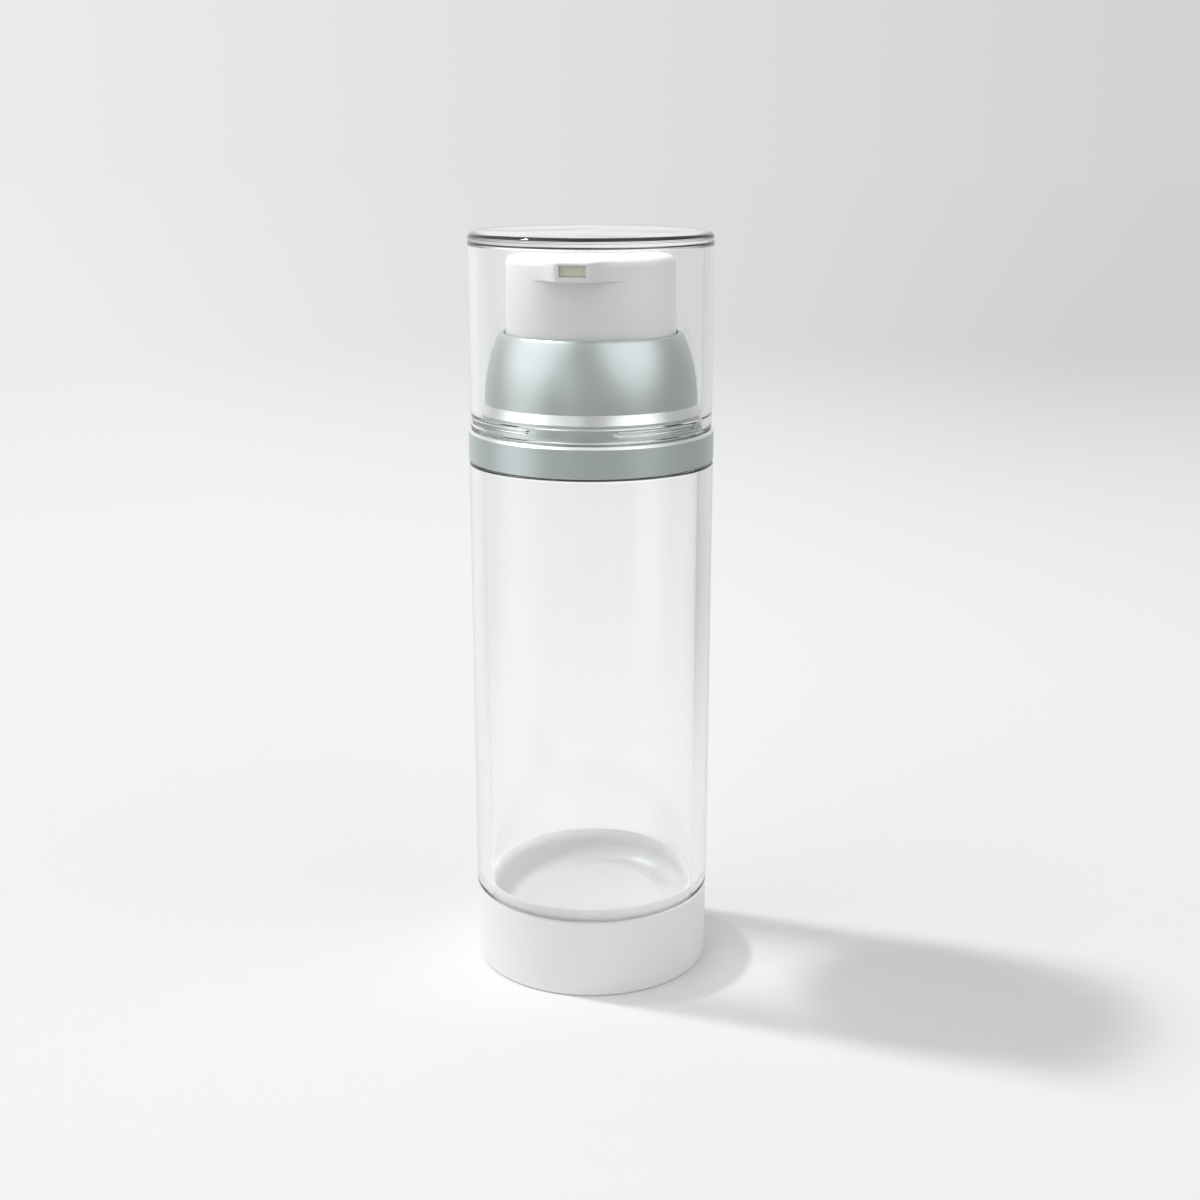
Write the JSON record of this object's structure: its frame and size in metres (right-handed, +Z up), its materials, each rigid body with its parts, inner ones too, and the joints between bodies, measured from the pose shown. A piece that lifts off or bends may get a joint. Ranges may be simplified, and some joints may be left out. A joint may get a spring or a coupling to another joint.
{
  "type": "airless pump bottle",
  "caption": "Round airless pump bottle: clear barrel with a rising follower, silver collar and band, white press button with side spout, clear push-fit overcap and white base cup.",
  "frame": {"origin": "centre of the foot, on the surface that the bottle stands on", "axes": "+Z up along the bottle's axis, the spout faces -Y, +X to the right seen from the spout's side"},
  "size_m": [0.0382, 0.0382, 0.118],
  "materials": {
    "clear_san": "clear, polished moulding",
    "white_pp": "smooth semi-gloss moulding",
    "white_pe": "smooth semi-gloss moulding",
    "satin_silver": "satin silver",
    "natural_pp": "milky moulding",
    "soft_pe": "soft moulding",
    "beige_elastomer": "matte",
    "spring_steel": "drawn wire",
    "polished_steel": "polished ball"
  },
  "bodies": {
    "bottle": {"bottle_body": "clear_san", "base_cup": "white_pp", "shoulder_ring": "satin_silver", "band_ring": "satin_silver", "collar_shell": "satin_silver", "snap_collar": "natural_pp", "neck_gasket": "soft_pe", "pump_housing": "natural_pp", "chaplet": "natural_pp", "inlet_cage": "natural_pp", "return_spring": "spring_steel"},
    "follower": {"follower_piston": "white_pe"},
    "ball": {"inlet_ball": "polished_steel"},
    "plunger": {"stem": "natural_pp", "valve_pin": "natural_pp"},
    "seal": {"stem_piston": "soft_pe"},
    "button": {"actuator": "white_pp", "nozzle_insert": "beige_elastomer"},
    "overcap": {"overcap": "clear_san"}
  },
  "joints": [
    {"name": "cap_lift", "type": "slide", "parent": "bottle", "child": "overcap", "axis": [0, 0, 1], "range_m": [0, 0.035]},
    {"name": "pump_press", "type": "slide", "parent": "bottle", "child": "plunger", "axis": [0, 0, -1], "range_m": [0, 0.005], "stiffness_N_per_m": 1500, "springref_m": -0.004, "deforming": ["return_spring"]},
    {"name": "seal_shift", "type": "slide", "parent": "plunger", "child": "seal", "axis": [0, 0, 1], "range_m": [0, 0.0008]},
    {"name": "button_swivel", "type": "hinge", "parent": "plunger", "child": "button", "pos_m": [0, 0, 0.109], "axis": [0, 0, 1], "continuous": true},
    {"name": "ball_rise", "type": "slide", "parent": "bottle", "child": "ball", "axis": [0, 0, 1], "range_m": [0, 0.0008]},
    {"name": "follower_rise", "type": "slide", "parent": "bottle", "child": "follower", "axis": [0, 0, 1], "range_m": [0, 0.068]}
  ],
  "couplings": [
    {"joint": "seal_shift", "follows": "pump_press", "ratio": 0.16}
  ]
}
